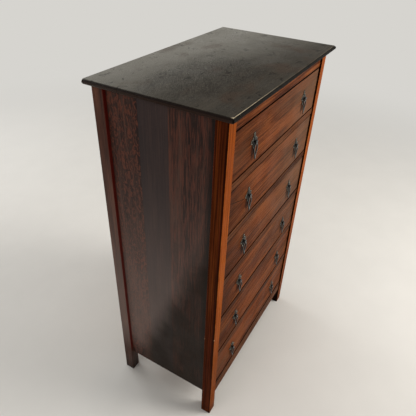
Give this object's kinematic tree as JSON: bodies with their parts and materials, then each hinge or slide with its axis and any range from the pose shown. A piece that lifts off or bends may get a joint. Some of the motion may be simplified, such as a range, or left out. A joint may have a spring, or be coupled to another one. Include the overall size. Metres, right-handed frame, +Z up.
{
  "type": "tallboy chest of drawers",
  "caption": "Tall narrow floor-standing chest of drawers in dark stained oak, on square posts, with panelled sides, a moulded top and hanging drop handles.",
  "frame": {"origin": "on the floor, under the middle of the top board", "axes": "+Z up; the drawers open towards -Y; +X is to the right of someone who faces the drawers"},
  "size_m": [0.773, 0.448, 1.259],
  "materials": {
    "top_oak": "very dark stained oak, semi-gloss, scratched and dented",
    "panel_oak": "dark stained quarter-sawn oak, semi-gloss",
    "post_oak": "red-brown stained oak, worn to orange on the arrises",
    "drawer_oak": "red-brown stained oak, glossy varnish",
    "rail_oak": "red-brown stained oak, glossy varnish",
    "drawer_lining": "plain oak, unvarnished, aged",
    "inner_wood": "plain softwood, unfinished, aged",
    "plywood": "thin plywood, unvarnished, aged",
    "aged_brass": "dark oxidised brass, rubbed bright on the high points",
    "screw_steel": "dull steel"
  },
  "bodies": {
    "carcass": {"top_board": "top_oak", "front_post_left": "post_oak", "front_post_right": "post_oak", "back_post_left": "post_oak", "back_post_right": "post_oak", "side_panel_left": "panel_oak", "side_panel_right": "panel_oak", "back_panel": "plywood", "top_rail": "drawer_oak", "bottom_rail": "rail_oak", "drawer_dividers": "rail_oak", "back_rails": "inner_wood", "bottom_side_rails": "inner_wood", "drawer_runners": "inner_wood", "drawer_guides": "inner_wood", "drawer_stops": "inner_wood", "top_cleats": "inner_wood", "top_screws": "screw_steel"},
    "drawer_1": {"drawer_1_front": "drawer_oak", "drawer_1_sides": "drawer_lining", "drawer_1_back": "drawer_lining", "drawer_1_bottom": "plywood", "drawer_1_backplates": "aged_brass"},
    "drawer_1_loop_left": {"drawer_1_loop_left": "aged_brass"},
    "drawer_1_loop_right": {"drawer_1_loop_right": "aged_brass"},
    "drawer_2": {"drawer_2_front": "drawer_oak", "drawer_2_sides": "drawer_lining", "drawer_2_back": "drawer_lining", "drawer_2_bottom": "plywood", "drawer_2_backplates": "aged_brass"},
    "drawer_2_loop_left": {"drawer_2_loop_left": "aged_brass"},
    "drawer_2_loop_right": {"drawer_2_loop_right": "aged_brass"},
    "drawer_3": {"drawer_3_front": "drawer_oak", "drawer_3_sides": "drawer_lining", "drawer_3_back": "drawer_lining", "drawer_3_bottom": "plywood", "drawer_3_backplates": "aged_brass"},
    "drawer_3_loop_left": {"drawer_3_loop_left": "aged_brass"},
    "drawer_3_loop_right": {"drawer_3_loop_right": "aged_brass"},
    "drawer_4": {"drawer_4_front": "drawer_oak", "drawer_4_sides": "drawer_lining", "drawer_4_back": "drawer_lining", "drawer_4_bottom": "plywood", "drawer_4_backplates": "aged_brass"},
    "drawer_4_loop_left": {"drawer_4_loop_left": "aged_brass"},
    "drawer_4_loop_right": {"drawer_4_loop_right": "aged_brass"},
    "drawer_5": {"drawer_5_front": "drawer_oak", "drawer_5_sides": "drawer_lining", "drawer_5_back": "drawer_lining", "drawer_5_bottom": "plywood", "drawer_5_backplates": "aged_brass"},
    "drawer_5_loop_left": {"drawer_5_loop_left": "aged_brass"},
    "drawer_5_loop_right": {"drawer_5_loop_right": "aged_brass"},
    "drawer_6": {"drawer_6_front": "drawer_oak", "drawer_6_sides": "drawer_lining", "drawer_6_back": "drawer_lining", "drawer_6_bottom": "plywood", "drawer_6_backplates": "aged_brass"},
    "drawer_6_loop_left": {"drawer_6_loop_left": "aged_brass"},
    "drawer_6_loop_right": {"drawer_6_loop_right": "aged_brass"}
  },
  "joints": [
    {"name": "drawer_1_slide", "type": "slide", "parent": "carcass", "child": "drawer_1", "axis": [0, -1, 0], "range_m": [0, 0.3]},
    {"name": "drawer_1_loop_left_hinge", "type": "hinge", "parent": "drawer_1", "child": "drawer_1_loop_left", "pos_m": [-0.195, -0.2026, 1.1235], "axis": [-1, 0, 0], "range_deg": [-5, 185]},
    {"name": "drawer_1_loop_right_hinge", "type": "hinge", "parent": "drawer_1", "child": "drawer_1_loop_right", "pos_m": [0.195, -0.2026, 1.1235], "axis": [-1, 0, 0], "range_deg": [-5, 185]},
    {"name": "drawer_2_slide", "type": "slide", "parent": "carcass", "child": "drawer_2", "axis": [0, -1, 0], "range_m": [0, 0.3]},
    {"name": "drawer_2_loop_left_hinge", "type": "hinge", "parent": "drawer_2", "child": "drawer_2_loop_left", "pos_m": [-0.195, -0.2026, 0.949], "axis": [-1, 0, 0], "range_deg": [-5, 185]},
    {"name": "drawer_2_loop_right_hinge", "type": "hinge", "parent": "drawer_2", "child": "drawer_2_loop_right", "pos_m": [0.195, -0.2026, 0.949], "axis": [-1, 0, 0], "range_deg": [-5, 185]},
    {"name": "drawer_3_slide", "type": "slide", "parent": "carcass", "child": "drawer_3", "axis": [0, -1, 0], "range_m": [0, 0.3]},
    {"name": "drawer_3_loop_left_hinge", "type": "hinge", "parent": "drawer_3", "child": "drawer_3_loop_left", "pos_m": [-0.195, -0.2026, 0.773], "axis": [-1, 0, 0], "range_deg": [-5, 185]},
    {"name": "drawer_3_loop_right_hinge", "type": "hinge", "parent": "drawer_3", "child": "drawer_3_loop_right", "pos_m": [0.195, -0.2026, 0.773], "axis": [-1, 0, 0], "range_deg": [-5, 185]},
    {"name": "drawer_4_slide", "type": "slide", "parent": "carcass", "child": "drawer_4", "axis": [0, -1, 0], "range_m": [0, 0.3]},
    {"name": "drawer_4_loop_left_hinge", "type": "hinge", "parent": "drawer_4", "child": "drawer_4_loop_left", "pos_m": [-0.195, -0.2026, 0.597], "axis": [-1, 0, 0], "range_deg": [-5, 185]},
    {"name": "drawer_4_loop_right_hinge", "type": "hinge", "parent": "drawer_4", "child": "drawer_4_loop_right", "pos_m": [0.195, -0.2026, 0.597], "axis": [-1, 0, 0], "range_deg": [-5, 185]},
    {"name": "drawer_5_slide", "type": "slide", "parent": "carcass", "child": "drawer_5", "axis": [0, -1, 0], "range_m": [0, 0.3]},
    {"name": "drawer_5_loop_left_hinge", "type": "hinge", "parent": "drawer_5", "child": "drawer_5_loop_left", "pos_m": [-0.195, -0.2026, 0.4165], "axis": [-1, 0, 0], "range_deg": [-5, 185]},
    {"name": "drawer_5_loop_right_hinge", "type": "hinge", "parent": "drawer_5", "child": "drawer_5_loop_right", "pos_m": [0.195, -0.2026, 0.4165], "axis": [-1, 0, 0], "range_deg": [-5, 185]},
    {"name": "drawer_6_slide", "type": "slide", "parent": "carcass", "child": "drawer_6", "axis": [0, -1, 0], "range_m": [0, 0.3]},
    {"name": "drawer_6_loop_left_hinge", "type": "hinge", "parent": "drawer_6", "child": "drawer_6_loop_left", "pos_m": [-0.195, -0.2026, 0.2315], "axis": [-1, 0, 0], "range_deg": [-5, 185]},
    {"name": "drawer_6_loop_right_hinge", "type": "hinge", "parent": "drawer_6", "child": "drawer_6_loop_right", "pos_m": [0.195, -0.2026, 0.2315], "axis": [-1, 0, 0], "range_deg": [-5, 185]}
  ]
}
